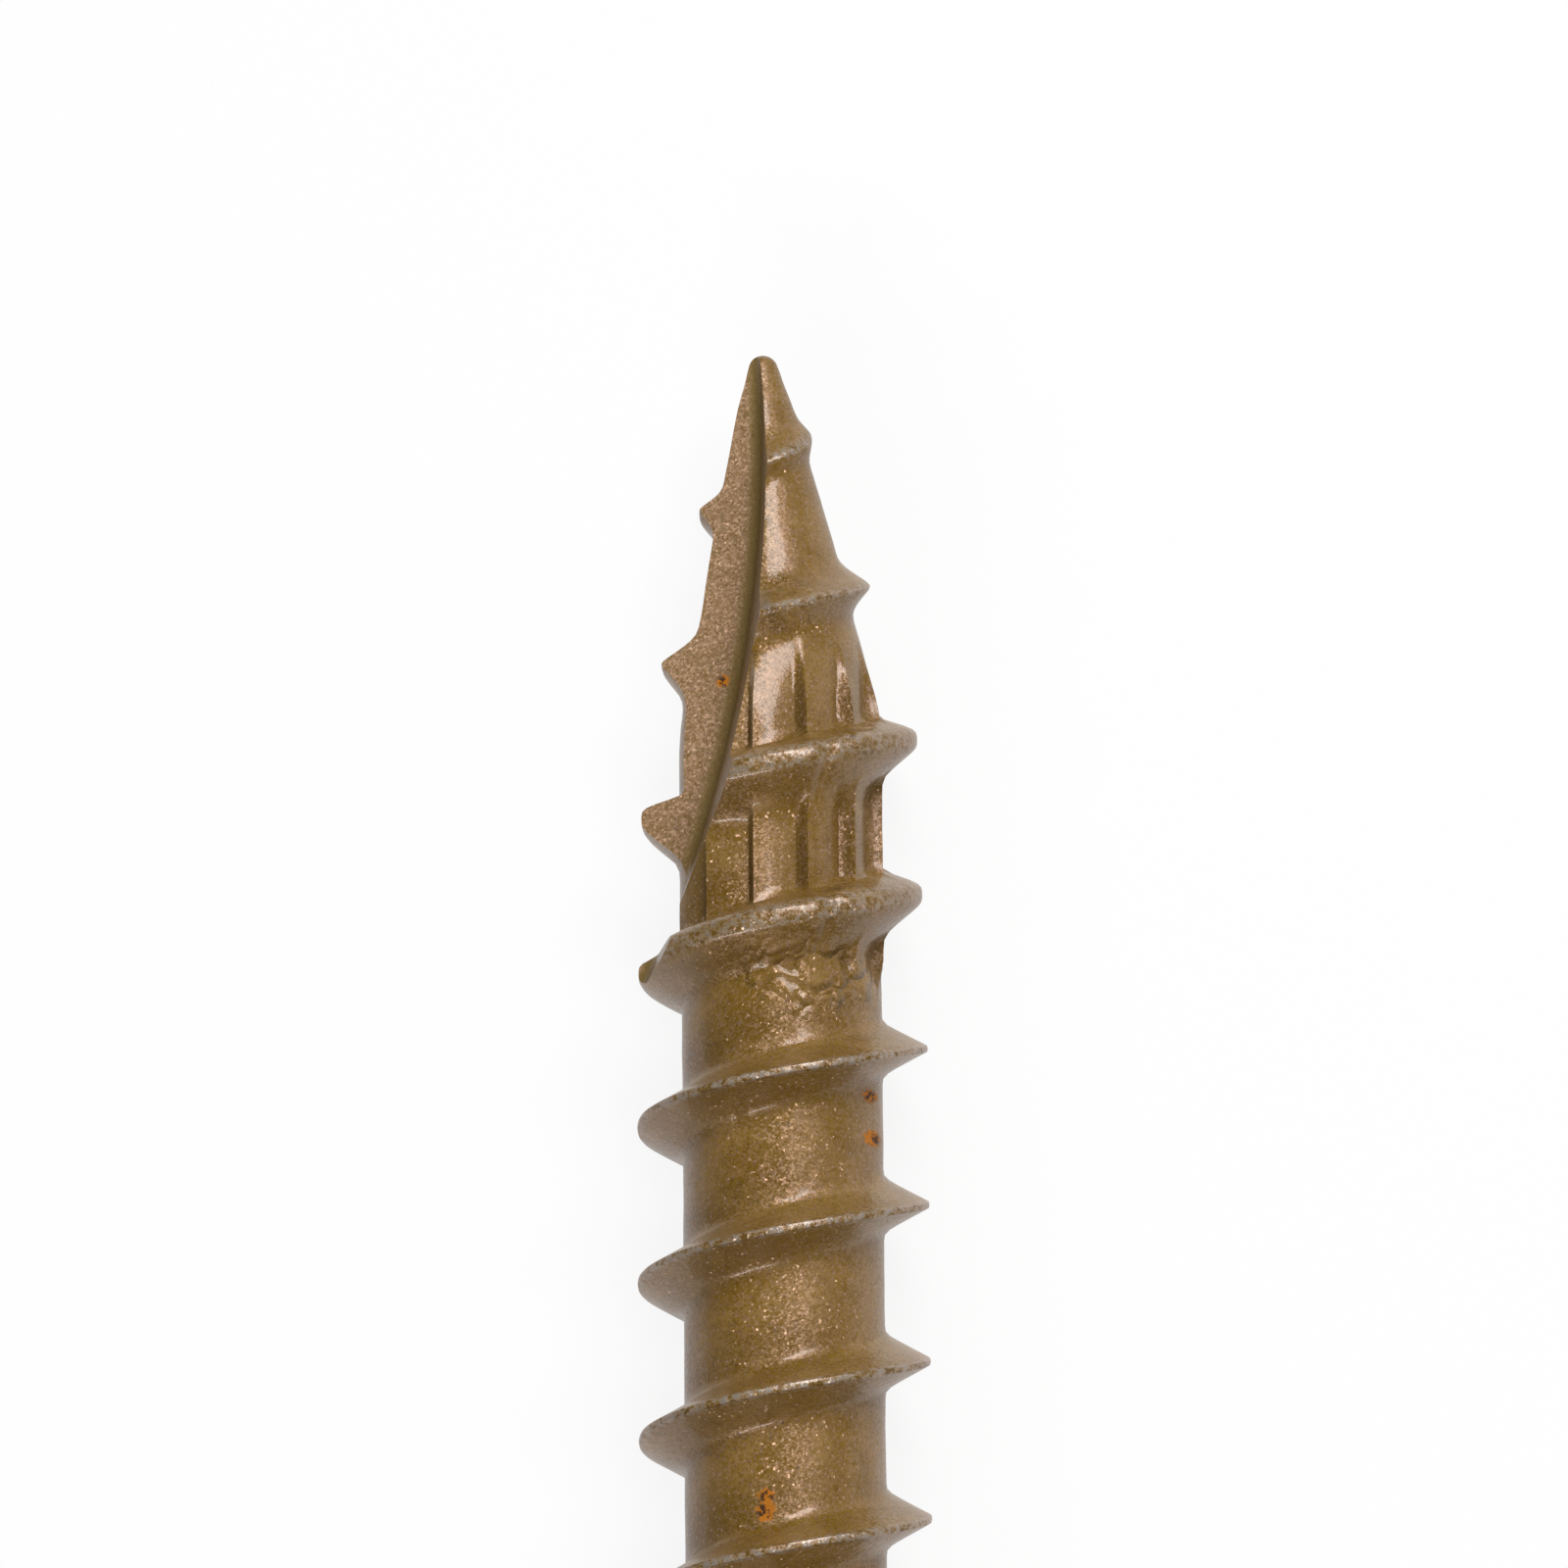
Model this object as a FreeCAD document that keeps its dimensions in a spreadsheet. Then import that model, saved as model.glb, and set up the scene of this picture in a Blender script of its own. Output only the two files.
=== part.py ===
import FreeCAD, Part
import os
import Sketcher

# Construction screw: one rolled steel piece, lying on its side as it comes to rest.
# It is drawn upright on its own axis, Z, with the driving face of the head at z = 0, the point at the
# top and the saw-cut flute facing -Y. Its placement then lays it down, point towards +Y, with the flute
# up and a little to the right, as the screw rolls to rest.
# Lengths are in millimetres and angles in degrees; a station is a distance back from the point.
SIZES = {
    "screw_length": 63.5,
    "shank_diameter": 3.6,
    # flat countersunk head with a six-lobe recess
    "head_diameter": 9.4,
    "head_rim": 0.4,
    "head_half_angle": 42.0,
    "neck_radius": 1.0,
    "recess_depth": 2.3,
    "lobe_count": 6,
    "lobe_span": 4.5,
    "valley_span": 3.27,
    "lobe_radius": 0.4,
    "lobe_wrap": 54.0,
    # right-hand thread, ten to the inch
    "thread_length": 38.1,
    "thread_pitch": 2.54,
    "root_diameter": 3.24,
    "crest_diameter": 4.77,
    "crest_flat": 0.1,
    "flank_angle": 27.0,
    "run_out": 2.0,
    "thread_start": 5.08,
    # tapered point and the lower, wider thread on it
    "point_half_angle": 13.4,
    "point_flat": 0.4,
    "shoulder_radius": 5.6,
    "point_tooth_height": 0.45,
    "point_flank_angle": 43.0,
    "point_turns": 1.5,
    # crest line of the thread over the point and the ribbed band
    "nose_station": 0.7,
    "first_crest_station": 2.61,
    "first_crest_diameter": 2.4,
    "blunt_station": 6.4,
    "blunt_diameter": 4.58,
    "full_station": 10.9,
    # ribs that ream the hole behind the point
    "rib_count": 12,
    "rib_height": 0.087,
    "rib_width": 12.0,
    "rib_turn": 15.0,
    "rib_start": 4.7,
    "rib_end": 10.4,
    "rib_fade": 0.5,
    # saw cut that makes the flute in the point
    "saw_radius": 19.3,
    "saw_station": 1.24,
    "saw_reach": 0.23,
    # rest: turns of the thread from the point to the crest on the floor, and the roll about the axis
    "rest_turns": 3.25,
    "rest_roll": 12.0,
}
# SINK is the depth by which one form is let into the next. GAP keeps the cut of the crest line off the
# full crests, and CLEAR is the margin by which a cut runs past what it cuts.
SINK = 0.1
GAP = 0.03
CLEAR = 0.6


def make_sheet(doc):
    """The spreadsheet that drives the model, one named size to a row."""
    sheet = doc.addObject("Spreadsheet::Sheet", "sizes")
    for row, (alias, size) in enumerate(SIZES.items(), start=1):
        sheet.set(f"A{row}", alias)
        sheet.set(f"B{row}", str(size))
        sheet.setAlias(f"B{row}", alias)
    doc.recompute()


def number(item, expression):
    """The plain value of an expression on the sheet."""
    result = item.evalExpression(expression)
    return float(getattr(result, "Value", result))


def start_sketch(role, name):
    """A sketch on one of the body's origin planes."""
    sketch = screw.newObject("Sketcher::SketchObject", name)
    plane = next(item for item in screw.Origin.OriginFeatures if item.Role == role)
    sketch.AttachmentSupport = (plane, [""])
    sketch.MapMode = "FlatFace"
    return sketch


def bind_distance(sketch, geometry, point, axis, expression):
    """Holds one point of a sketch at an x or y given by an expression."""
    if expression == "0":
        origin_axis = -2 if axis == "X" else -1
        sketch.addConstraint(Sketcher.Constraint("PointOnObject", geometry, point, origin_axis))
        return
    kind = f"Distance{axis}"
    index = sketch.addConstraint(
        Sketcher.Constraint(kind, -1, 1, geometry, point, number(sketch, expression))
    )
    sketch.setExpression(f"Constraints[{index}]", expression)


def draw_outline(sketch, corners):
    """A closed outline of straight edges through corners given as pairs of expressions."""
    points = [FreeCAD.Vector(number(sketch, x), number(sketch, y), 0) for x, y in corners]
    first = sketch.GeometryCount
    for start, end in zip(points, points[1:] + points[:1]):
        sketch.addGeometry(Part.LineSegment(start, end))
    for index, corner in enumerate(corners):
        following = (index + 1) % len(corners)
        sketch.addConstraint(Sketcher.Constraint("Coincident", first + index, 2, first + following, 1))
        bind_distance(sketch, first + index, 1, "X", corner[0])
        bind_distance(sketch, first + index, 1, "Y", corner[1])


def draw_circle(sketch, x, radius):
    """A circle centred on the sketch's x axis."""
    centre = FreeCAD.Vector(number(sketch, x), 0, 0)
    circle = sketch.addGeometry(Part.Circle(centre, FreeCAD.Vector(0, 0, 1), number(sketch, radius)))
    bind_distance(sketch, circle, 3, "X", x)
    bind_distance(sketch, circle, 3, "Y", "0")
    index = sketch.addConstraint(Sketcher.Constraint("Radius", circle, number(sketch, radius)))
    sketch.setExpression(f"Constraints[{index}]", radius)


def add_feature(kind, name, profile, **sizes):
    """A sketch-based feature of the body, its sizes tied to expressions."""
    feature = screw.newObject(f"PartDesign::{kind}", name)
    feature.Profile = profile
    feature.Refine = False
    profile.Visibility = False
    for size, expression in sizes.items():
        feature.setExpression(size, expression)
    return feature


def revolve(kind, name, profile, turn="360"):
    """A turn of a profile about the screw's axis, added or cut away."""
    feature = add_feature(kind, name, profile, Angle=turn)
    feature.ReferenceAxis = (profile, ["V_Axis"])
    return feature


def round_edge(name, base, radius, height):
    """A fillet on the circular edge of the base at a height given by an expression."""
    doc.recompute()
    level = number(base, height)
    edges = [
        f"Edge{index}"
        for index, edge in enumerate(base.Shape.Edges, start=1)
        if edge.isClosed() and abs(edge.BoundBox.ZMin - level) + abs(edge.BoundBox.ZMax - level) < 0.01
    ]
    fillet = screw.newObject("PartDesign::Fillet", name)
    fillet.Base = (base, edges)
    fillet.setExpression("Radius", radius)
    return fillet


def wind(name, profile, pitch, height, angle="0"):
    """A right-hand ridge wound from a profile back towards the head, widening by the angle."""
    ridge = add_feature("AdditiveHelix", name, profile)
    ridge.ReferenceAxis = (profile, ["V_Axis"])
    ridge.Mode = "pitch-height-angle"
    ridge.Reversed = True
    ridge.setExpression("Pitch", pitch)
    ridge.setExpression("Height", height)
    ridge.setExpression("Angle", angle)
    return ridge


def check(item, grows=None):
    """Stops unless a feature has computed and has added or cut material as meant."""
    doc.recompute()
    if {"Invalid", "Error"} & set(item.State) or item.Shape.isNull() or not item.Shape.isValid():
        raise RuntimeError(f"{item.Name} failed: {item.getStatusString()}")
    if grows is not None and (item.Shape.Volume > item.BaseFeature.Shape.Volume) != grows:
        raise RuntimeError(f"{item.Name} changes nothing")


doc = FreeCAD.newDocument("construction_screw")
make_sheet(doc)
screw = doc.addObject("PartDesign::Body", "screw")
screw.Label = "screw"

# Expressions used by several forms
tip = "sizes.screw_length"
root = "sizes.root_diameter / 2"
crest = "sizes.crest_diameter / 2"
shank = "sizes.shank_diameter / 2"
shank_end = f"({tip} - sizes.thread_length)"
taper = "tan(sizes.point_half_angle)"
shoulder_station = f"((sizes.root_diameter - sizes.point_flat) / 2 / {taper})"


def core_radius(station):
    """Radius of the tapered core at a station given by an expression."""
    return f"(sizes.point_flat / 2 + ({station}) * {taper})"


# Core: the root cylinder of the thread and the tapered point
core_sketch = start_sketch("XZ_Plane", "core_outline")
draw_outline(core_sketch, [
    ("0", f"{shank_end} - sizes.thread_pitch"),
    (root, f"{shank_end} - sizes.thread_pitch"),
    (root, f"{tip} - {shoulder_station}"),
    ("sizes.point_flat / 2", tip),
    ("0", tip),
])
core = revolve("Revolution", "core", core_sketch)
shoulder = round_edge("shoulder_round", core, "sizes.shoulder_radius", f"{tip} - {shoulder_station}")
check(shoulder)

# Thread: a steep ridge wound down the root cylinder, and a lower, wider one on the point
tooth_foot = f"({root} - {SINK})"
tooth_half = f"(sizes.crest_flat / 2 + ({crest} - {tooth_foot}) * tan(sizes.flank_angle))"
tooth_level = f"({tip} - sizes.thread_start)"
tooth_sketch = start_sketch("XZ_Plane", "thread_section")
draw_outline(tooth_sketch, [
    (f"-{tooth_foot}", f"{tooth_level} - {tooth_half}"),
    (f"-{crest}", f"{tooth_level} - sizes.crest_flat / 2"),
    (f"-{crest}", f"{tooth_level} + sizes.crest_flat / 2"),
    (f"-{tooth_foot}", f"{tooth_level} + {tooth_half}"),
])
thread_height = f"{tooth_level} - {shank_end} + sizes.thread_pitch / 2"
thread = wind("thread", tooth_sketch, "sizes.thread_pitch", thread_height)
check(thread, grows=True)
start_level = f"({tip} - sizes.thread_pitch / 2)"
start_core = core_radius("sizes.thread_pitch / 2")
start_half = f"((sizes.point_tooth_height + {SINK}) * tan(sizes.point_flank_angle))"
point_sketch = start_sketch("XZ_Plane", "point_thread_section")
draw_outline(point_sketch, [
    (f"{start_core} - {SINK} - {start_half} * {taper}", f"{start_level} + {start_half}"),
    (f"{start_core} + sizes.point_tooth_height", start_level),
    (f"{start_core} - {SINK} + {start_half} * {taper}", f"{start_level} - {start_half}"),
])
point_height = "sizes.point_turns * sizes.thread_pitch"
half_angle = "sizes.point_half_angle"
point_thread = wind("point_thread", point_sketch, "sizes.thread_pitch", point_height, half_angle)
check(point_thread, grows=True)

# Crest line: the crests are turned down over the point and run out into the shank
outside = f"({crest} + {CLEAR})"
full_crest = f"({crest} + {GAP})"
crest_sketch = start_sketch("XZ_Plane", "crest_outline")
draw_outline(crest_sketch, [
    (f"{core_radius('sizes.nose_station')} + {GAP}", f"{tip} - sizes.nose_station"),
    ("sizes.first_crest_diameter / 2", f"{tip} - sizes.first_crest_station"),
    ("sizes.blunt_diameter / 2", f"{tip} - sizes.blunt_station"),
    (full_crest, f"{tip} - sizes.full_station"),
    (outside, f"{tip} - sizes.full_station"),
    (outside, f"{tip} - sizes.nose_station"),
])
crests = revolve("Groove", "crest_line", crest_sketch)
check(crests, grows=False)
run_out_sketch = start_sketch("XZ_Plane", "run_out_outline")
draw_outline(run_out_sketch, [
    (full_crest, f"{shank_end} + sizes.run_out"),
    (f"{root} + {GAP}", shank_end),
    (f"{root} + {GAP}", f"{shank_end} - sizes.thread_pitch - {CLEAR}"),
    (outside, f"{shank_end} - sizes.thread_pitch - {CLEAR}"),
    (outside, f"{shank_end} + sizes.run_out"),
])
run_out = revolve("Groove", "run_out", run_out_sketch)
check(run_out, grows=False)

# Head and plain shank
head_sketch = start_sketch("XZ_Plane", "head_outline")
head_radius = "sizes.head_diameter / 2"
head_depth = f"(sizes.head_rim + ({head_radius} - {shank}) / tan(sizes.head_half_angle))"
draw_outline(head_sketch, [
    ("0", "0"),
    (head_radius, "0"),
    (head_radius, "sizes.head_rim"),
    (shank, head_depth),
    (shank, shank_end),
    (f"{root} - {SINK}", f"{shank_end} + {shank} - {root} + {SINK}"),
    ("0", f"{shank_end} + {shank} - {root} + {SINK}"),
])
head = revolve("Revolution", "head_and_shank", head_sketch)
check(head, grows=True)
neck = round_edge("neck_round", head, "sizes.neck_radius", head_depth)
check(neck, grows=True)

# Six-lobe recess: a round well and six rounded lobes with slanting sides
well_sketch = start_sketch("XY_Plane", "recess_well_outline")
draw_circle(well_sketch, "0", "sizes.valley_span / 2")
well = add_feature("Pocket", "recess_well", well_sketch, Length="sizes.recess_depth")
well.Reversed = True
check(well, grows=False)
lobe_centre = "(sizes.lobe_span / 2 - sizes.lobe_radius)"
side_x = f"{lobe_centre} + sizes.lobe_radius * cos(sizes.lobe_wrap)"
side_y = "sizes.lobe_radius * sin(sizes.lobe_wrap)"
valley_x = "sizes.valley_span / 2 * cos(180 / sizes.lobe_count)"
valley_y = "sizes.valley_span / 2 * sin(180 / sizes.lobe_count)"
lobe_sketch = start_sketch("XY_Plane", "recess_lobe_outline")
draw_outline(lobe_sketch, [
    ("0", "0"),
    (valley_x, f"-{valley_y}"),
    (side_x, f"-{side_y}"),
    (side_x, side_y),
    (valley_x, valley_y),
])
lobe = add_feature("Pocket", "recess_lobe", lobe_sketch, Length="sizes.recess_depth")
lobe.Reversed = True
check(lobe, grows=False)
lobe_end_sketch = start_sketch("XY_Plane", "recess_lobe_end_outline")
draw_circle(lobe_end_sketch, lobe_centre, "sizes.lobe_radius")
lobe_end = add_feature("Pocket", "recess_lobe_end", lobe_end_sketch, Length="sizes.recess_depth")
lobe_end.Reversed = True
check(lobe_end, grows=False)
lobes = screw.newObject("PartDesign::PolarPattern", "recess_lobes")
lobes.Originals = [lobe, lobe_end]
lobes.Axis = (lobe_sketch, ["N_Axis"])
lobes.Angle = 360
lobes.setExpression("Occurrences", "sizes.lobe_count")
screw.Tip = lobes
check(lobes)

# Ribs: low ridges that run along the core behind the point and sink into it at both ends
rib_sketch = start_sketch("XZ_Plane", "rib_outline")
rib_sketch.AttachmentOffset.Rotation = FreeCAD.Rotation(FreeCAD.Vector(0, 1, 0), SIZES["rib_turn"])
rib_sketch.setExpression("AttachmentOffset.Rotation.Angle", "sizes.rib_turn")
rib_top = f"({root} + sizes.rib_height)"
rib_rise = "sizes.rib_start + sizes.rib_fade"
draw_outline(rib_sketch, [
    (f"{core_radius('sizes.rib_start')} - {SINK}", f"{tip} - sizes.rib_start"),
    (f"{core_radius(rib_rise)} + sizes.rib_height", f"{tip} - ({rib_rise})"),
    (rib_top, f"{tip} - {shoulder_station}"),
    (rib_top, f"{tip} - sizes.rib_end + sizes.rib_fade"),
    (f"{root} - {SINK}", f"{tip} - sizes.rib_end"),
    (f"{core_radius('sizes.rib_start')} - 2 * {SINK}", f"{tip} - sizes.rib_end"),
])
rib = revolve("Revolution", "rib", rib_sketch, "sizes.rib_width")
rib.Midplane = True
check(rib, grows=True)
ribs = screw.newObject("PartDesign::PolarPattern", "ribs")
ribs.Originals = [rib]
ribs.Axis = (rib_sketch, ["V_Axis"])
ribs.Angle = 360
ribs.Refine = False
ribs.setExpression("Occurrences", "sizes.rib_count")
screw.Tip = ribs
check(ribs, grows=True)

# Flute: the edge of a saw disc, set along the screw, takes one quarter out of the point
saw = screw.newObject("PartDesign::SubtractiveCylinder", "flute")
front = next(item for item in screw.Origin.OriginFeatures if item.Role == "XZ_Plane")
saw.AttachmentSupport = (front, [""])
saw.MapMode = "FlatFace"
saw.Refine = False
saw.setExpression("Radius", "sizes.saw_radius")
saw.setExpression("Height", f"{crest} + {CLEAR}")
saw.setExpression("AttachmentOffset.Base.x", "-sizes.saw_radius - sizes.saw_reach")
saw.setExpression("AttachmentOffset.Base.y", f"{tip} - sizes.saw_station")
screw.Tip = saw
check(saw, grows=False)

# Rest: the screw leans on the rim of its head and on a crest behind the point
rest_station = "((sizes.rest_turns + sizes.rest_roll / 360) * sizes.thread_pitch)"
rest_crest = (
    f"(sizes.blunt_diameter / 2 + ({full_crest} - sizes.blunt_diameter / 2)"
    f" * ({rest_station} - sizes.blunt_station) / (sizes.full_station - sizes.blunt_station))"
)
lean = f"atan(({head_radius} - {rest_crest}) / ({tip} - {rest_station} - sizes.head_rim))"
reach = f"({tip} * cos({lean}) + (sizes.point_flat / 2 - {head_radius}) * sin({lean}))"
lift = f"({head_radius} * cos({lean}) + sizes.head_rim * sin({lean}))"
laid = f"rotationx(-90 deg - {lean}) * rotationz(sizes.rest_roll)"
screw.setExpression("Placement", f"placement(vector(0; -{reach} / 2; {lift}); {laid})")
doc.recompute()

for item in doc.Objects:
    if {"Invalid", "Error"} & set(item.State):
        raise RuntimeError(f"{item.Name} failed: {item.getStatusString()}")
shape = screw.Shape
if shape.isNull() or not shape.isValid() or len(shape.Solids) != 1:
    raise RuntimeError("the screw is not one sound solid")
os.makedirs("parts", exist_ok=True)
shape.exportStep(f"parts/{screw.Label}.step")
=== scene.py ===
import math

import bpy
from mathutils import Euler, Matrix, Vector


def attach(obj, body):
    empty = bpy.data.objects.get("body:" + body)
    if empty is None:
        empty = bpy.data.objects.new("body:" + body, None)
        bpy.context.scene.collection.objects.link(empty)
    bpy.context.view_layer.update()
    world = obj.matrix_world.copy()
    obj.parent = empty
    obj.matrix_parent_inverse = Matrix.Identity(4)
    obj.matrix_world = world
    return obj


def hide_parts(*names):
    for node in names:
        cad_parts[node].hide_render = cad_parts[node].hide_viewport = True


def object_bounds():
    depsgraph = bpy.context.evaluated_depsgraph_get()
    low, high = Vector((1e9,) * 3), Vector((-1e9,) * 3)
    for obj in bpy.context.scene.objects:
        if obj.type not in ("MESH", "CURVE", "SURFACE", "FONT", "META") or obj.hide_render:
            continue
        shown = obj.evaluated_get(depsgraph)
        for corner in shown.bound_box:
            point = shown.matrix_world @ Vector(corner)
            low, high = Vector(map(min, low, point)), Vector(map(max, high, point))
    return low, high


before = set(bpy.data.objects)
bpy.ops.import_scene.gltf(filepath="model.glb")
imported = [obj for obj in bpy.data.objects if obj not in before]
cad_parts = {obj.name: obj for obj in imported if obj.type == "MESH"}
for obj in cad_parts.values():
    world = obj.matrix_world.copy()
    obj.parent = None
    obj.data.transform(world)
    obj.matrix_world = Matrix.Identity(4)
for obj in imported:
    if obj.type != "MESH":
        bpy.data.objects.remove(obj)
cad_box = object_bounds()

# The screw: one steel blank, rolled to its thread and ribs, with the flute sawn into its point and the
# recess punched in its head, then coated. The head, the plain shank and the last dome of the point are
# turned here; the tree adds the threaded length between them and makes both cuts.
MM = 0.001
screw_length = 63.5 * MM
head_radius = 4.7 * MM
head_rim = 0.4 * MM
head_angle = 42.0
face_ring = 2.9 * MM
edge_radius = 0.08 * MM
edge_drop = 0.032 * MM
neck_radius = 1.0 * MM
shank_radius = 1.8 * MM
shank_ring_gap = 4.0 * MM
thread_end = 38.1 * MM
pitch = 2.54 * MM
dome_end = 0.3 * MM
dome_radius = 0.24 * MM
dome_top_angle = 78.0
point_radius = 0.2 * MM
point_angle = 13.4
point_slope = math.tan(math.radians(point_angle))
segments = 192
rows = 24


def arc(centre, radius, start, end, steps):
    """Points of an arc in the (radius, height) plane, angles in degrees."""
    angles = [math.radians(start + (end - start) * step / steps) for step in range(steps + 1)]
    return [(centre[0] + radius * math.cos(a), centre[1] + radius * math.sin(a)) for a in angles]


def turned_part(profile, flip):
    """Vertices and faces of a profile turned about the axis; its first point is on the axis."""
    vertices = [(0, 0, profile[0][1])]
    for radius, height in profile[1:]:
        for step in range(segments):
            angle = 2 * math.pi * step / segments
            vertices.append((radius * math.cos(angle), radius * math.sin(angle), height))
    faces = []
    for step in range(segments):
        following = (step + 1) % segments
        faces.append((0, 1 + following, 1 + step))
        for ring in range(len(profile) - 2):
            low = 1 + ring * segments
            high = low + segments
            faces.append((low + step, low + following, high + following, high + step))
    if flip:
        faces = [tuple(reversed(face)) for face in faces]
    return vertices, faces


# The screw is made on its own axis, Z, with the driving face of the head at z = 0 and the flute facing -Y
head_depth = head_rim + (head_radius - shank_radius) / math.tan(math.radians(head_angle))
neck_tangent = neck_radius * math.tan(math.radians(head_angle) / 2)
neck_centre = (shank_radius + neck_radius, head_depth + neck_tangent)
head_profile = [(0, 0), (face_ring, 0)]
head_profile += arc((head_radius - edge_radius, edge_radius), edge_radius, -90, 0, 4)
head_profile += arc((head_radius - edge_radius, head_rim - edge_drop), edge_radius, 0, 90 - head_angle, 3)
head_profile += arc(neck_centre, neck_radius, 180 + head_angle, 180, 8)
head_profile += [(shank_radius, head_depth + ring * shank_ring_gap) for ring in range(1, 5)]
head_profile += [(shank_radius, screw_length - thread_end)]
point_profile = [(0, screw_length)]
point_profile += arc((0, screw_length - dome_radius), dome_radius, dome_top_angle, point_angle, 6)
point_profile += [(point_radius + dome_end * point_slope, screw_length - dome_end)]
head_vertices, head_faces = turned_part(head_profile, flip=False)
point_vertices, point_faces = turned_part(point_profile, flip=True)
offset = len(head_vertices)
ends = bpy.data.meshes.new("screw_ends")
ends.from_pydata(
    head_vertices + point_vertices,
    [],
    head_faces + [tuple(offset + index for index in face) for face in point_faces],
)
ends.update()
blank = bpy.data.objects.new("screw_blank", ends)
bpy.context.collection.objects.link(blank)

# Sizes of the tree. A station is a distance back from the point. A form comes in from its Start to its
# Full and goes out from its Fades to its End; along the screw these are stations, for the unevenness
# heights above the head's face, and for the painted shade in the groove at a rib's foot parts of the rib.
# A slope is the fall of a flank for each length beside the crest, and a flat is half the width of a crest.
settings = {
    "Screw Length": screw_length,
    "Pitch": pitch,
    "Root Radius": 1.62 * MM,
    "Crest Radius": 2.36 * MM,
    "Shank Radius": shank_radius,
    "Shank Slope": 0.7,
    "Thread End": thread_end,
    "Run Out Slope": 0.3,
    "Run Out Depth": 0.02 * MM,
    "Dome End": dome_end,
    "Point Radius": point_radius,
    "Point Slope": point_slope,
    "Bulge Height": 0.045 * MM,
    "Bulge Full": 1.0 * MM,
    "Bulge Fades": 3.0 * MM,
    "Bulge End": 4.5 * MM,
    "Shoulder Blend": 0.25 * MM,
    "Root Fillet": 0.3 * MM,
    "Rib Count": 12.0,
    "Rib Height": 0.24 * MM,
    "Rib Sink": 0.65,
    "Rib Slope Share": 0.85,
    "Rib Turn": math.radians(15.0),
    "Rib Start": 4.7 * MM,
    "Rib Full": 6.2 * MM,
    "Rib Fades": 10.0 * MM,
    "Rib End": 10.5 * MM,
    "Nose Fades": 1.5 * MM,
    "Nose End": 2.2 * MM,
    "Nose Slope": 0.6,
    "Nose Flat": 0.07 * MM,
    "Point Thread Slope": 1.2,
    "Point Flat": 0.03 * MM,
    "Point Rounding": 0.07 * MM,
    "Band Start": 5.2 * MM,
    "Band Full": 6.2 * MM,
    "Band Fades": 10.0 * MM,
    "Band End": 11.2 * MM,
    "Band Slope To Point": 3.2,
    "Band Slope To Head": 1.25,
    "Band Flat": 0.16 * MM,
    "Band Rounding": 0.14 * MM,
    "Thread Slope": 1.963,
    "Thread Flat": 0.045 * MM,
    "Thread Rounding": 0.02 * MM,
    "Nick Depth": 0.1 * MM,
    "Nick Turn": math.radians(250.0),
    "Nick Reach": 0.07,
    "Wear Width": 0.05 * MM,
    "Wear Spared On Band": 0.35,
    "Groove Start": 0.74,
    "Groove Full": 0.84,
    "Groove Clearance": 0.1 * MM,
    "Unevenness": 0.018 * MM,
    "Unevenness Scale": 1.1 / MM,
    "Unevenness Start": 2.0 * MM,
    "Unevenness Full": 5.0 * MM,
    "Point Bend": 0.235 * MM,
    "Bend Station": 5.2 * MM,
    "Bend Softness": 0.2,
    "Saw Radius": 22.35 * MM,
    "Saw Thickness": 4.0 * MM,
    "Saw Station": 1.24 * MM,
    "Saw Reach": 0.275 * MM,
    "Saw Corner": 0.19 * MM,
    "Saw Flare": math.tan(math.radians(7.0)),
    "Recess Depth": 2.3 * MM,
    "Recess Radius": 1.94 * MM,
    "Recess Lobe": 0.31 * MM,
    "Recess Lobe Count": 6.0,
    "Seed": 3.0,
}
tree = bpy.data.node_groups.new("rolled_screw", "GeometryNodeTree")
tree.is_modifier = True
tree.interface.new_socket("Geometry", in_out="INPUT", socket_type="NodeSocketGeometry")
tree.interface.new_socket("Geometry", in_out="OUTPUT", socket_type="NodeSocketGeometry")
for name, value in settings.items():
    tree.interface.new_socket(name, in_out="INPUT", socket_type="NodeSocketFloat").default_value = value
inputs = tree.nodes.new("NodeGroupInput")
output = tree.nodes.new("NodeGroupOutput")


class Field:
    """A value in a node tree, so that forms and finishes can be written as plain arithmetic."""

    def __init__(self, socket):
        self.socket = socket

    def __add__(self, other):
        return calculate("ADD", self, other)

    def __sub__(self, other):
        return calculate("SUBTRACT", self, other)

    def __rsub__(self, other):
        return calculate("SUBTRACT", other, self)

    def __mul__(self, other):
        return calculate("MULTIPLY", self, other)

    def __truediv__(self, other):
        return calculate("DIVIDE", self, other)

    def __neg__(self):
        return calculate("MULTIPLY", self, -1.0)

    __radd__ = __add__
    __rmul__ = __mul__


def feed(node, key, value):
    """Sets an input of a node to a plain value, or links it to a field or to a node's first output."""
    if isinstance(value, Field):
        node.id_data.links.new(value.socket, node.inputs[key])
    elif isinstance(value, bpy.types.Node):
        node.id_data.links.new(value.outputs[0], node.inputs[key])
    else:
        node.inputs[key].default_value = value


def add_node(owner, kind, **values):
    """A node in a tree, its inputs set or linked by their names."""
    node = owner.nodes.new(kind)
    for key, value in values.items():
        feed(node, key.replace("_", " "), value)
    return node


def owner_of(*values):
    """The tree that the fields among some values belong to."""
    return next(value.socket.id_data for value in values if isinstance(value, Field))


def calculate(operation, *values):
    """A Math node on fields and numbers."""
    node = owner_of(*values).nodes.new("ShaderNodeMath")
    node.operation = operation
    for index, value in enumerate(values):
        feed(node, index, value)
    return Field(node.outputs[0])


def step_between(value, low, high):
    """A smooth step from 0 at low to 1 at high."""
    node = add_node(owner_of(value), "ShaderNodeMapRange", Value=value, From_Min=low, From_Max=high)
    node.interpolation_type = "SMOOTHSTEP"
    return Field(node.outputs["Result"])


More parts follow.
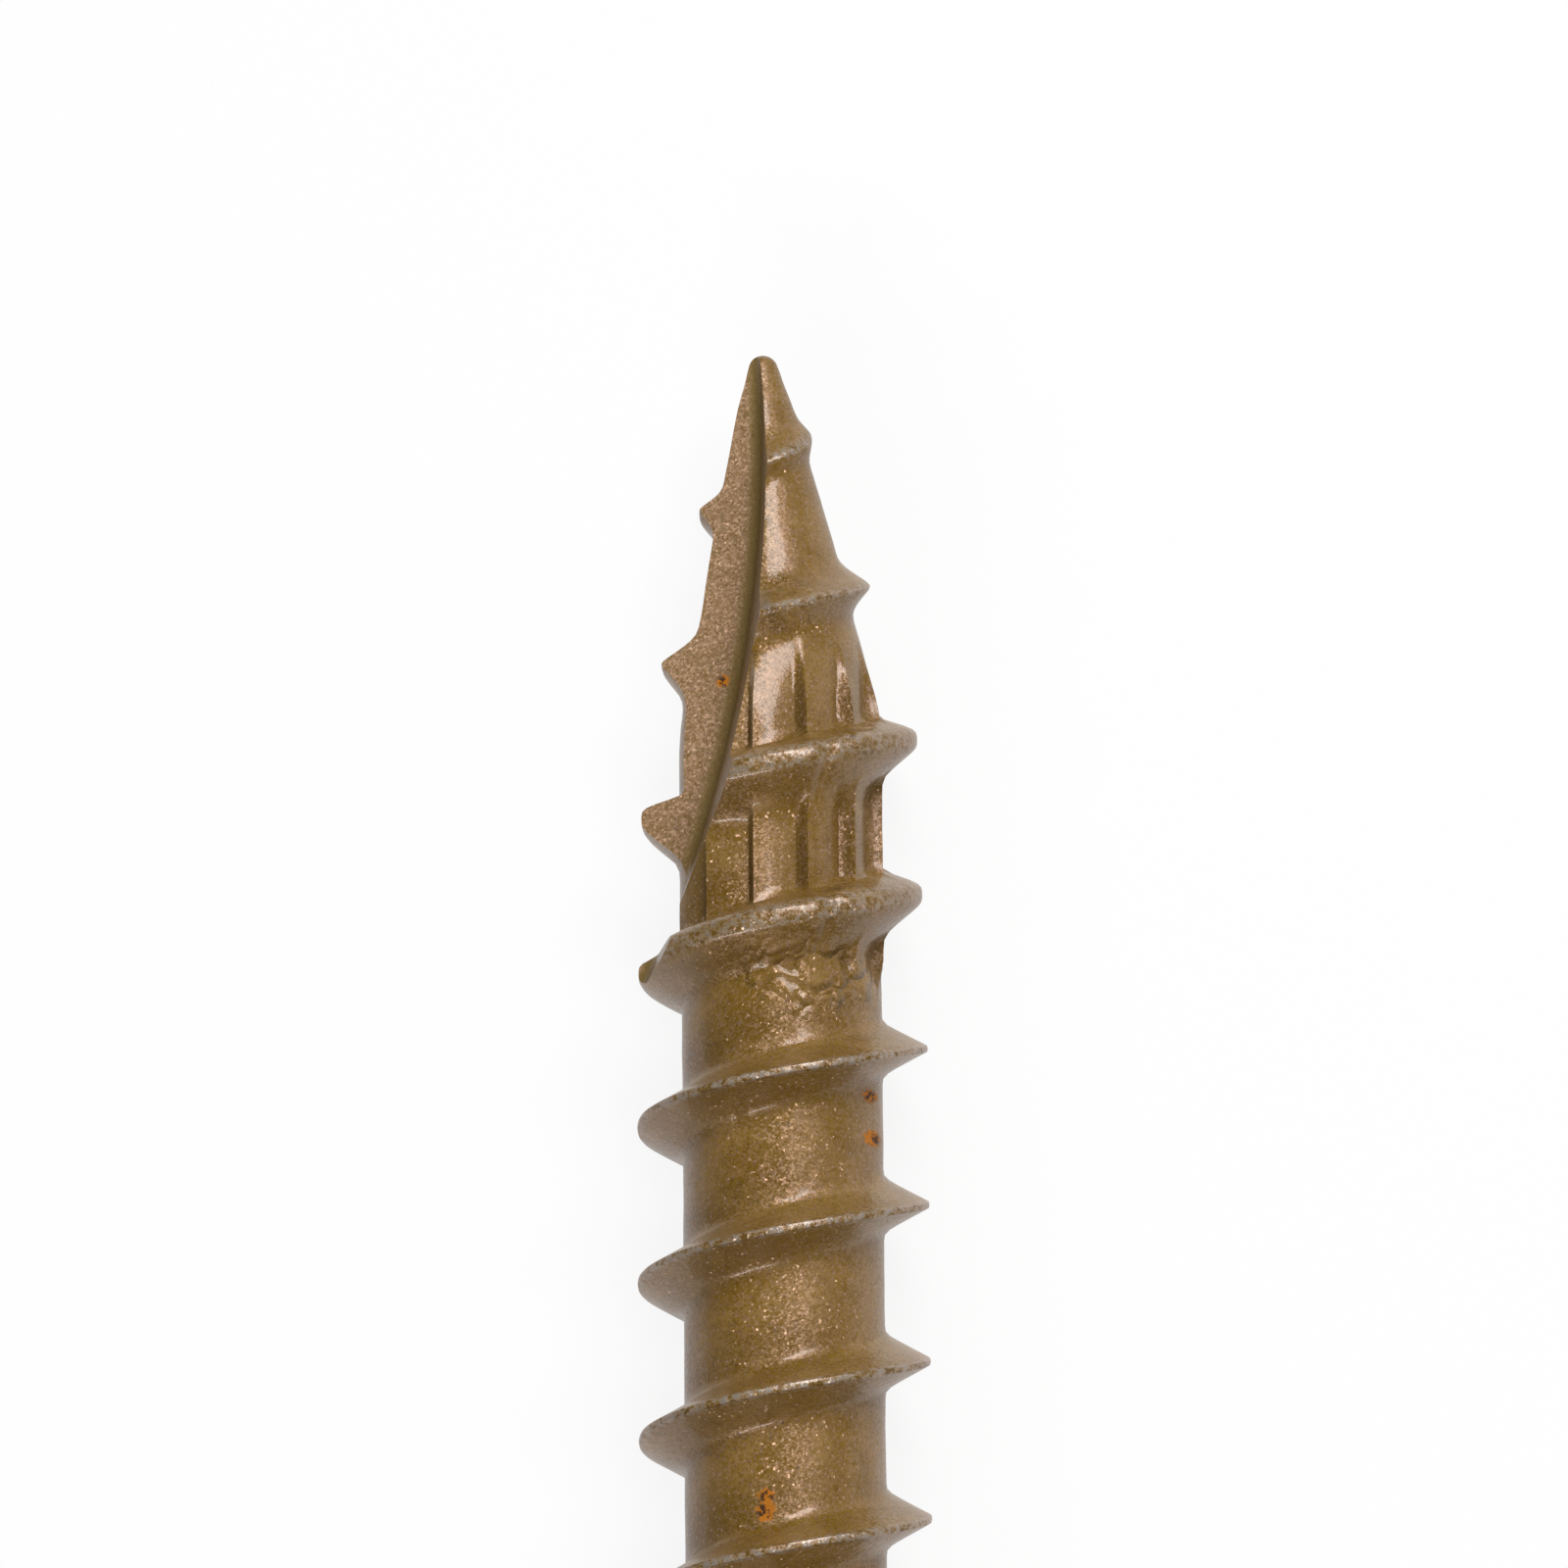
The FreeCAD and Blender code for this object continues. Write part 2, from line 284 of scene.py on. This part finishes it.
def blend(factor, low, high):
    """low where the factor is 0, high where it is 1."""
    return factor * high + (1 - factor) * low


def here():
    """The x, y and z of each point."""
    parts = add_node(tree, "ShaderNodeSeparateXYZ", Vector=tree.nodes.new("GeometryNodeInputPosition"))
    return [Field(part) for part in parts.outputs]


def joined_xyz(x=0.0, y=0.0, z=0.0):
    """A vector from its three parts."""
    return add_node(tree, "ShaderNodeCombineXYZ", X=x, Y=y, Z=z)


def distance_from_axis(x, y):
    """How far each point is from the Z axis."""
    return calculate("SQRT", x * x + y * y)


def push_out(geometry, distance):
    """Geometry with its points moved away from the Z axis."""
    x, y, _ = here()
    scale = distance / calculate("MAXIMUM", distance_from_axis(x, y), 0.001 * MM)
    shift = joined_xyz(x * scale, y * scale)
    return add_node(tree, "GeometryNodeSetPosition", Geometry=geometry, Offset=shift)


def store(geometry, name, value, domain="POINT"):
    """Geometry with a value kept on its points or faces for the material."""
    node = add_node(tree, "GeometryNodeStoreNamedAttribute", Geometry=geometry, Name=name, Value=value)
    node.domain = domain
    return node


# Grid of the threaded length: its long side is wound round the core, a turn for each pitch, and its rows,
# side by side across each turn, crowd towards the crest
given = {name: Field(inputs.outputs[name]) for name in settings}
turns = math.ceil(thread_end / pitch) + 1
crowding = 0.55
grid = add_node(tree, "GeometryNodeMeshGrid", Size_X=1.0, Size_Y=1.0)
grid.inputs["Vertices X"].default_value = turns * segments + 1
grid.inputs["Vertices Y"].default_value = rows + 1
along, over, _ = here()
turn = (along + 0.5) * turns - 0.5
across = over * 2
off_crest = across * (across * across * crowding + (1 - crowding)) * given["Pitch"] * 0.5
station = calculate("MAXIMUM", turn * given["Pitch"] + off_crest, given["Dome End"])
station = calculate("MINIMUM", station, given["Thread End"])
angle = (turn * -2 + 1) * math.pi

# Core, from the slim point to the shank, and the ratchet-shaped ribs on it
cone = given["Point Radius"] + station * given["Point Slope"]
bulge_in = step_between(station, given["Dome End"], given["Bulge Full"])
bulge_out = step_between(station, given["Bulge Fades"], given["Bulge End"])
core = cone + bulge_in * (1 - bulge_out) * given["Bulge Height"]
core = calculate("SMOOTH_MIN", core, given["Root Radius"], given["Shoulder Blend"])
shank_foot = given["Shank Radius"] - (given["Thread End"] - station) * given["Shank Slope"]
core = calculate("MAXIMUM", core, shank_foot)
rib_phase = (angle + math.pi / 2 - given["Rib Turn"]) * given["Rib Count"] / (2 * math.pi)
rib_phase = calculate("FLOORED_MODULO", rib_phase, 1.0)
rib_slow = 1 - rib_phase / given["Rib Slope Share"]
rib_steep = (rib_phase - given["Rib Slope Share"]) / (1 - given["Rib Slope Share"])
rib_shape = calculate("MAXIMUM", calculate("MAXIMUM", rib_slow, rib_steep), 0.0)
rib_in = step_between(station, given["Rib Start"], given["Rib Full"])
rib_out = step_between(station, given["Rib Fades"], given["Rib End"])
on_ribs = rib_in * (1 - rib_out)
core = core + (rib_shape - given["Rib Sink"]) * on_ribs * given["Rib Height"]

# Thread: blunt at the nose, lower and wider on the point, blunt and lopsided along the band of ribs, then
# even and sharp
on_nose = 1 - step_between(station, given["Nose Fades"], given["Nose End"])
from_band = step_between(station, given["Band Start"], given["Band Full"])
past_band = step_between(station, given["Band Fades"], given["Band End"])
on_band = from_band * (1 - past_band)
headward = calculate("GREATER_THAN", off_crest, 0.0)
point_flank = blend(on_nose, given["Point Thread Slope"], given["Nose Slope"])
band_flank = blend(headward, given["Band Slope To Point"], given["Band Slope To Head"])
slope = blend(past_band, blend(from_band, point_flank, band_flank), given["Thread Slope"])
point_flat = blend(on_nose, given["Point Flat"], given["Nose Flat"])
flat = blend(past_band, blend(from_band, point_flat, given["Band Flat"]), given["Thread Flat"])
rounding = blend(from_band, given["Point Rounding"], given["Band Rounding"])
rounding = blend(past_band, rounding, given["Thread Rounding"])
away = calculate("ABSOLUTE", off_crest) - flat
drop = calculate("SMOOTH_MAX", away, 0.0, rounding)

# Crest line: each straight stretch has a rise and the radius that it starts from at the point
crest_stretches = (
    (0.7, -0.21 * MM),
    (0.375, 0.215 * MM),
    (0.2876, 0.449 * MM),
    (0.0235, 2.08 * MM),
)
crest_line = given["Crest Radius"]
for rise, start_radius in crest_stretches:
    crest_line = calculate("MINIMUM", crest_line, station * rise + start_radius)
run_out = (given["Thread End"] - station) * given["Run Out Slope"] + given["Shank Radius"]
crest_line = calculate("MINIMUM", crest_line, run_out - given["Run Out Depth"])
nick_turn = calculate("FLOORED_MODULO", angle + given["Nick Turn"], 2 * math.pi) - math.pi
nick = 1 - calculate("MINIMUM", calculate("ABSOLUTE", nick_turn) / given["Nick Reach"], 1.0)
tooth = crest_line - drop * slope - nick * on_band * given["Nick Depth"]

# Threaded surface, which meets the shank and the dome in their own rings
same_place = 0.0001 * MM
seam_gap = 0.0008 * MM
radius = calculate("SMOOTH_MAX", core, tooth, given["Root Fillet"])
ends_here = calculate("COMPARE", station, given["Thread End"], same_place)
starts_here = calculate("COMPARE", station, given["Dome End"], same_place)
radius = blend(ends_here, radius, given["Shank Radius"])
radius = blend(starts_here, radius, cone)
wear = 1 - step_between(away, 0.0, given["Wear Width"])
wear = wear * (1 - on_band * given["Wear Spared On Band"])
# The foot of each rib's steep side, clear of the thread, is marked for painted shade in the material
foot = step_between(rib_phase, given["Groove Start"], given["Groove Full"]) * on_ribs
groove = foot * step_between(core - tooth, 0.0, given["Groove Clearance"])
marked = store(store(grid, "wear", wear), "groove_shade", groove)
side = radius * calculate("COSINE", angle)
front = radius * calculate("SINE", angle)
spot = joined_xyz(side, front, given["Screw Length"] - station)
wound = add_node(tree, "GeometryNodeSetPosition", Geometry=marked, Position=spot)
joined = add_node(tree, "GeometryNodeJoinGeometry")
feed(joined, "Geometry", wound)
feed(joined, "Geometry", inputs)
whole = add_node(tree, "GeometryNodeMergeByDistance", Geometry=joined, Distance=seam_gap)

# Small unevenness all over but on the head, and the point knocked a little to one side
side, front, height = here()
noise = add_node(tree, "ShaderNodeTexNoise", Vector=joined_xyz(side, front, height), Detail=2.0)
noise.noise_dimensions = "4D"
feed(noise, "W", given["Seed"])
feed(noise, "Scale", given["Unevenness Scale"])
past_head = step_between(height, given["Unevenness Start"], given["Unevenness Full"])
swell = (Field(noise.outputs["Fac"]) - 0.5) * 2 * given["Unevenness"] * past_head
uneven = push_out(whole, swell)
to_bend = 1 - (given["Screw Length"] - height) / given["Bend Station"]
bend = calculate("SMOOTH_MAX", to_bend, 0.0, given["Bend Softness"]) * given["Point Bend"]
bent = add_node(tree, "GeometryNodeSetPosition", Geometry=uneven, Offset=joined_xyz(x=-bend))

# The saw's rounded and slightly flared rim, which cuts the flute; its corner leaves a groove, whose faces
# are marked for painted shade
half_saw = given["Saw Thickness"] / 2
saw_path = add_node(tree, "GeometryNodeCurvePrimitiveCircle", Resolution=900)
feed(saw_path, "Radius", given["Saw Radius"] - half_saw)
saw_section = add_node(tree, "GeometryNodeCurvePrimitiveQuadrilateral")
feed(saw_section, "Width", given["Saw Thickness"])
feed(saw_section, "Height", given["Saw Thickness"])
saw_rounded = add_node(tree, "GeometryNodeFilletCurve", Curve=saw_section, Radius=given["Saw Corner"])
saw_rounded.mode = "POLY"
saw_rounded.inputs["Count"].default_value = 6
saw_rim = add_node(tree, "GeometryNodeCurveToMesh", Curve=saw_path, Profile_Curve=saw_rounded)
saw_x, saw_y, saw_z = here()
saw_depth = saw_z + half_saw
from_rim = given["Saw Radius"] - distance_from_axis(saw_x, saw_y)
in_corner = calculate("LESS_THAN", calculate("MAXIMUM", from_rim, saw_depth), given["Saw Corner"])
saw_flared = push_out(store(saw_rim, "shaded_corner", in_corner, "FACE"), saw_depth * given["Saw Flare"])
saw_spot = joined_xyz(
    -(given["Saw Radius"] + given["Saw Reach"]),
    -half_saw,
    given["Screw Length"] - given["Saw Station"],
)
saw = add_node(
    tree,
    "GeometryNodeTransform",
    Geometry=saw_flared,
    Translation=saw_spot,
    Rotation=Euler((math.pi / 2, 0, 0)),
)
sawn = store(saw, "sawn", 1.0, "FACE")

# The punch for the recess, a circle drawn out into lobes and run into the head
punch_outline = add_node(tree, "GeometryNodeCurvePrimitiveCircle", Resolution=144, Radius=1.0)
punch_x, punch_y, _ = here()
punch_angle = calculate("ARCTAN2", punch_y, punch_x)
punch_lobe = calculate("COSINE", punch_angle * given["Recess Lobe Count"]) * given["Recess Lobe"]
punch_radius = punch_lobe + given["Recess Radius"]
punch_spot = joined_xyz(punch_x * punch_radius, punch_y * punch_radius)
punch_curve = add_node(tree, "GeometryNodeSetPosition", Geometry=punch_outline, Position=punch_spot)
punch_path = add_node(tree, "GeometryNodeCurvePrimitiveLine", Start=(0, 0, -1.0 * MM))
feed(punch_path, "End", joined_xyz(z=given["Recess Depth"]))
punch = add_node(tree, "GeometryNodeCurveToMesh", Curve=punch_path, Profile_Curve=punch_curve, Fill_Caps=True)
cut = add_node(tree, "GeometryNodeMeshBoolean")
cut.operation = "DIFFERENCE"
cut.solver = "MANIFOLD"
feed(cut, "Mesh 1", bent)
feed(cut, "Mesh 2", sawn)
feed(cut, "Mesh 2", punch)

# Where the screw lies: it leans on the rim of its head and on a crest near the point, rolled a little over
lean = math.radians(2.4637)
rest_roll = math.radians(12.0)
turned = Matrix.Rotation(-math.pi / 2 - lean, 4, "X") @ Matrix.Rotation(rest_roll, 4, "Z")
middle = (cad_box[0] + cad_box[1]) / 2
reach = screw_length * math.cos(lean) + (point_radius - head_radius) * math.sin(lean)
lift = head_radius * math.cos(lean) + head_rim * math.sin(lean)
laid = Matrix.Translation((middle.x, middle.y - reach / 2, cad_box[0].z + lift)) @ turned

# Smooth flanks with crisp folds. An edge of the saw cut has one sawn face, so its value there is a half.
crisp_fold = math.radians(38)
smooth = add_node(tree, "GeometryNodeSetShadeSmooth", Geometry=cut)
fold = Field(tree.nodes.new("GeometryNodeInputMeshEdgeAngle").outputs[0])
sawn_side = Field(add_node(tree, "GeometryNodeInputNamedAttribute", Name="sawn").outputs[0])
cut_edge = calculate("COMPARE", sawn_side, 0.5, 0.3)
crisp_edge = calculate("MAXIMUM", calculate("GREATER_THAN", fold, crisp_fold), cut_edge)
crisp = add_node(tree, "GeometryNodeSetShadeSmooth", Geometry=smooth, Selection=crisp_edge)
crisp.domain = "EDGE"
crisp.inputs["Shade Smooth"].default_value = False
laid_mesh = add_node(tree, "GeometryNodeTransform", Geometry=crisp)
feed(laid_mesh, "Translation", laid.to_translation())
feed(laid_mesh, "Rotation", laid.to_euler())
realised = add_node(tree, "GeometryNodeRealizeInstances", Geometry=laid_mesh)
coated = add_node(tree, "GeometryNodeSetMaterial", Geometry=realised)
feed(output, "Geometry", coated)

# The coating: brown lacquer with bronze flakes in it, under a clearer top coat
coating = bpy.data.materials.new("bronze_coating")
coating.use_nodes = True
finish = coating.node_tree
shader = finish.nodes["Principled BSDF"]
shader.inputs["Specular IOR Level"].default_value = 0.62
shader.inputs["Specular Tint"].default_value = (1.0, 0.65, 0.6, 1)
shader.inputs["Coat Roughness"].default_value = 0.12


def paint(kind, key, **values):
    """An output of a new node in the coating."""
    return Field(add_node(finish, kind, **values).outputs[key])


def tint(factor, low, high):
    """A colour between low and high, each a colour or a field."""
    node = finish.nodes.new("ShaderNodeMix")
    node.data_type = "RGBA"
    for index, value in ((0, factor), (6, low), (7, high)):
        feed(node, index, value)
    return Field(node.outputs[2])


def vector_math(operation, first, second=(0, 0, 0), key="Vector"):
    """A Vector Math node in the coating."""
    node = finish.nodes.new("ShaderNodeVectorMath")
    node.operation = operation
    feed(node, 0, first)
    feed(node, 1, second)
    return Field(node.outputs[key])


def attribute(name):
    """A value stored on the screw's mesh."""
    node = finish.nodes.new("ShaderNodeAttribute")
    node.attribute_name = name
    return Field(node.outputs["Fac"])


olive_brown = (0.140, 0.077, 0.004, 1)
tan = (0.180, 0.104, 0.018, 1)
sawn_brown = (0.140, 0.088, 0.032, 1)
flake_tone = (0.42, 0.27, 0.21, 1)
# Dark brown for the lacquer's grain, between the flakes and on thinned crests, and for painted shade in the
# ribs' grooves
dark_grain_and_shade = (0.085, 0.048, 0.006, 1)
worn_grey = (0.30, 0.27, 0.24, 1)
# A flat brown painted as shade in the corner of the saw cut
corner_shade_brown = (0.150, 0.100, 0.030, 1)
rust = (0.38, 0.125, 0.0, 1)
charred = (0.035, 0.014, 0.0, 1)
object_place = paint("ShaderNodeTexCoord", "Object")
flake = paint("ShaderNodeTexVoronoi", "Color", Vector=object_place, Scale=30 / MM)
sparkle = paint("ShaderNodeSeparateColor", "Red", Color=flake)
glint = step_between(paint("ShaderNodeSeparateColor", "Green", Color=flake), 0.93, 0.97)
coarse = paint("ShaderNodeTexNoise", "Fac", Vector=object_place, Scale=1.1 / MM, Detail=4.0, Roughness=0.6)
grain = paint("ShaderNodeTexNoise", "Fac", Vector=object_place, Scale=9.0 / MM, Detail=3.0, Roughness=0.7)
sawn_face = attribute("sawn")
crest_wear = attribute("wear")

# Lacquer, olive to tan in places and darker in its grain, on the sawn faces and between the flakes, with
# painted shade in the ribs' grooves
lacquer = tint(step_between(coarse, 0.42, 0.58), olive_brown, tan)
lacquer = tint(step_between(grain, 0.55, 0.35) * 0.3, lacquer, dark_grain_and_shade)
lacquer = tint(sawn_face * 0.7, lacquer, sawn_brown)
# Painted shade: the lacquer darkened in the ribs' grooves, at the foot of each steep side
lacquer = tint(attribute("groove_shade") * 0.6, lacquer, dark_grain_and_shade)
lacquer = tint(step_between(sparkle, 0.3, 0.0) * 0.35, lacquer, dark_grain_and_shade)

# Flakes that show through it, crests dark where the lacquer has thinned and grey where it has gone, and
# a flat brown without flakes painted as shade in the corner of the saw cut
flaky = calculate("MAXIMUM", step_between(sparkle, 0.35, 0.9) * 0.16, glint * 0.5)
coat = tint(flaky, lacquer, flake_tone)
coat = tint(crest_wear * step_between(grain, 0.46, 0.36), coat, dark_grain_and_shade)
rubbed = crest_wear * step_between(grain, 0.42, 0.6)
coat = tint(rubbed * 0.75, coat, worn_grey)
# Painted shade in the corner of the saw cut: a flat brown, with its flakes taken away
corner_shade = attribute("shaded_corner") * 0.85
coat = tint(corner_shade, coat, corner_shade_brown)
bare = calculate("MAXIMUM", flaky, rubbed * 0.4) * (1 - corner_shade)

# Rust has come through at a few spots, and the rolls have smeared the steel where the ribs run out and
# bruised the thread beside them. Each such place on the sawn side is given in millimetres: across the
# screw, back from the point, and its radius.
rust_places = (
    (-0.93, 5.38, 0.1),
    (1.4, 12.3, 0.11),
    (1.44, 12.98, 0.13),
    (-0.3, 18.8, 0.13),
    (-0.33, 19.05, 0.15),
)
smear_places = (
    (-0.1, 10.3, 0.5),
    (0.5, 10.4, 0.65),
    (1.2, 10.4, 0.4),
    (1.3, 6.5, 0.3),
    (0.95, 9.2, 0.35),
    (0.1, 4.3, 0.4),
)
upright = laid.inverted()
own_place = paint(
    "ShaderNodeMapping",
    "Vector",
    Vector=object_place,
    Location=upright.to_translation(),
    Rotation=upright.to_euler(),
)
on_sawn_side = step_between(paint("ShaderNodeSeparateXYZ", "Y", Vector=own_place), 0.6 * MM, 0.3 * MM)
flat_place = vector_math("MULTIPLY", own_place, (1, 0, 1))


def spots(places, softness):
    """1 within each place, with edges that follow the grain; 0 elsewhere."""
    covered = 0.0
    for across_mm, station_mm, radius_mm in places:
        centre = (across_mm * MM, 0, screw_length - station_mm * MM)
        ragged = vector_math("DISTANCE", flat_place, centre, "Value") - grain * (0.2 * MM)
        edge = (radius_mm - 0.1) * MM
        covered = calculate("MAXIMUM", covered, step_between(ragged, edge + softness, edge - softness))
    return covered * on_sawn_side


rusty = spots(rust_places, 0.04 * MM)
smeared = spots(smear_places, 0.2 * MM)
coat = tint(rusty, coat, tint(step_between(grain, 0.44, 0.52), charred, rust))
feed(shader, "Base Color", coat)
feed(shader, "Metallic", bare * (1 - rusty))
feed(shader, "Roughness", sawn_face * 0.08 + rusty * 0.4 + 0.4)
feed(shader, "Coat Weight", (1 - rusty) * 0.25)

# Each flake lies at its own slant under the clear top of the coat, whose own surface is a little uneven
slant = vector_math("MULTIPLY", vector_math("SUBTRACT", flake, (0.5, 0.5, 0.5)), glint * 0.7 + 0.26)
grainy = paint("ShaderNodeBump", "Normal", Height=grain, Strength=0.7, Distance=0.016 * MM)
tracks = paint("ShaderNodeTexNoise", "Fac", Vector=own_place, Scale=1.7 / MM, Detail=1.0, Distortion=0.5)
tracks = calculate("ABSOLUTE", tracks - 0.5) * smeared
smear = paint("ShaderNodeBump", "Normal", Height=tracks, Strength=1.0, Distance=0.4 * MM, Normal=grainy)
feed(shader, "Normal", vector_math("NORMALIZE", vector_math("ADD", smear, slant)))
ripple = paint("ShaderNodeBump", "Normal", Height=grain, Strength=0.3, Distance=0.008 * MM)
ripple = paint("ShaderNodeBump", "Normal", Height=tracks, Strength=1.0, Distance=0.15 * MM, Normal=ripple)
feed(shader, "Coat Normal", ripple)
coated.inputs["Material"].default_value = coating
ends.materials.append(coating)

# The finished mesh, made plain and tied to the frame in place of its solid
modifier = blank.modifiers.new("rolled", "NODES")
modifier.node_group = tree
for item in tree.interface.items_tree:
    if item.in_out == "INPUT" and item.name in settings:
        modifier[item.identifier] = settings[item.name]
evaluated = blank.evaluated_get(bpy.context.evaluated_depsgraph_get())
mesh = bpy.data.meshes.new_from_object(evaluated)
mesh.name = "construction_screw"
screw = bpy.data.objects.new("construction_screw", mesh)
bpy.context.collection.objects.link(screw)
bpy.data.objects.remove(blank)
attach(screw, "root")
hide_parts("screw")

# The floor: a plain white sheet, wide enough to fill the view. It shows white to the camera and in
# reflections, and keeps the soft shadow under the screw.
floor_size = 3.0
floor_gap = 0.02 * MM
paper_grey = (0.7, 0.7, 0.7, 1)
white = (1, 1, 1, 1)
white_share = 0.88
bpy.ops.mesh.primitive_plane_add(size=floor_size, location=(0, 0, cad_box[0].z - floor_gap))
floor = bpy.context.object
floor.name = "floor"
paper = bpy.data.materials.new("white_sheet")
paper.use_nodes = True
sheet = paper.node_tree
sheet_shader = sheet.nodes["Principled BSDF"]
sheet_shader.inputs["Base Color"].default_value = paper_grey
sheet_shader.inputs["Roughness"].default_value = 0.9
sheet_shader.inputs["Specular IOR Level"].default_value = 0.0
seen = sheet.nodes.new("ShaderNodeLightPath").outputs
reflected = calculate("MAXIMUM", Field(seen["Is Glossy Ray"]), Field(seen["Is Transmission Ray"]))
seen_white = calculate("MAXIMUM", Field(seen["Is Camera Ray"]), reflected)
glow = add_node(sheet, "ShaderNodeEmission", Color=white, Strength=1.0)
mixed = add_node(sheet, "ShaderNodeMixShader", Fac=seen_white * white_share)
feed(mixed, 1, sheet_shader)
feed(mixed, 2, glow)
feed(sheet.nodes["Material Output"], "Surface", mixed)
floor.data.materials.append(paper)

# Light: a soft lamp to the upper right of the view, a weaker one from the head's side, and an even
# surround. Both lamps face the middle of the view.
world = bpy.data.worlds.new("surround")
bpy.context.scene.world = world
world.use_nodes = True
world.node_tree.nodes["Background"].inputs["Color"].default_value = white
world.node_tree.nodes["Background"].inputs["Strength"].default_value = 0.09
view_middle = 7.1 * MM
target = laid @ Vector((0, 0, screw_length - view_middle))


def add_lamp(name, offset, width, height, watts):
    """A rectangular lamp, offset from the middle of the view and facing it."""
    data = bpy.data.lights.new(name, "AREA")
    data.shape = "RECTANGLE"
    data.size = width
    data.size_y = height
    data.energy = watts
    lamp = bpy.data.objects.new(name, data)
    bpy.context.collection.objects.link(lamp)
    lamp.location = target + Vector(offset)
    lamp.rotation_euler = (target - lamp.location).to_track_quat("-Z", "Y").to_euler()


add_lamp("key_lamp", offset=(0.115, 0.17, 0.26), width=0.25, height=0.1, watts=1.55)
add_lamp("fill_lamp", offset=(-0.04, -0.25, 0.17), width=0.2, height=0.025, watts=0.45)

# The camera looks down on the point end, from a little towards the head.
sensor = 36
distance = 179 * MM
frame_width = 25.47 * MM
aim = Vector((0.06 * MM, 0, screw_length - 7.08 * MM))
tilt = math.radians(8.75)
roll = math.radians(0.437)
camera_data = bpy.data.cameras.new("camera")
camera_data.sensor_width = sensor
camera_data.lens = sensor * distance / frame_width
camera_data.clip_start = 0.01
camera_data.dof.use_dof = False
camera = bpy.data.objects.new("camera", camera_data)
bpy.context.collection.objects.link(camera)
bpy.context.scene.camera = camera
back = Vector((0, -math.cos(tilt), -math.sin(tilt)))
up = Vector((math.sin(roll), 0, math.cos(roll)))
up = (up - back * up.dot(back)).normalized()
right = up.cross(back)
stand = Matrix((right, up, back)).transposed().to_4x4()
stand.translation = aim + back * distance
camera.matrix_world = laid @ stand

bpy.context.scene.view_settings.view_transform = "Standard"
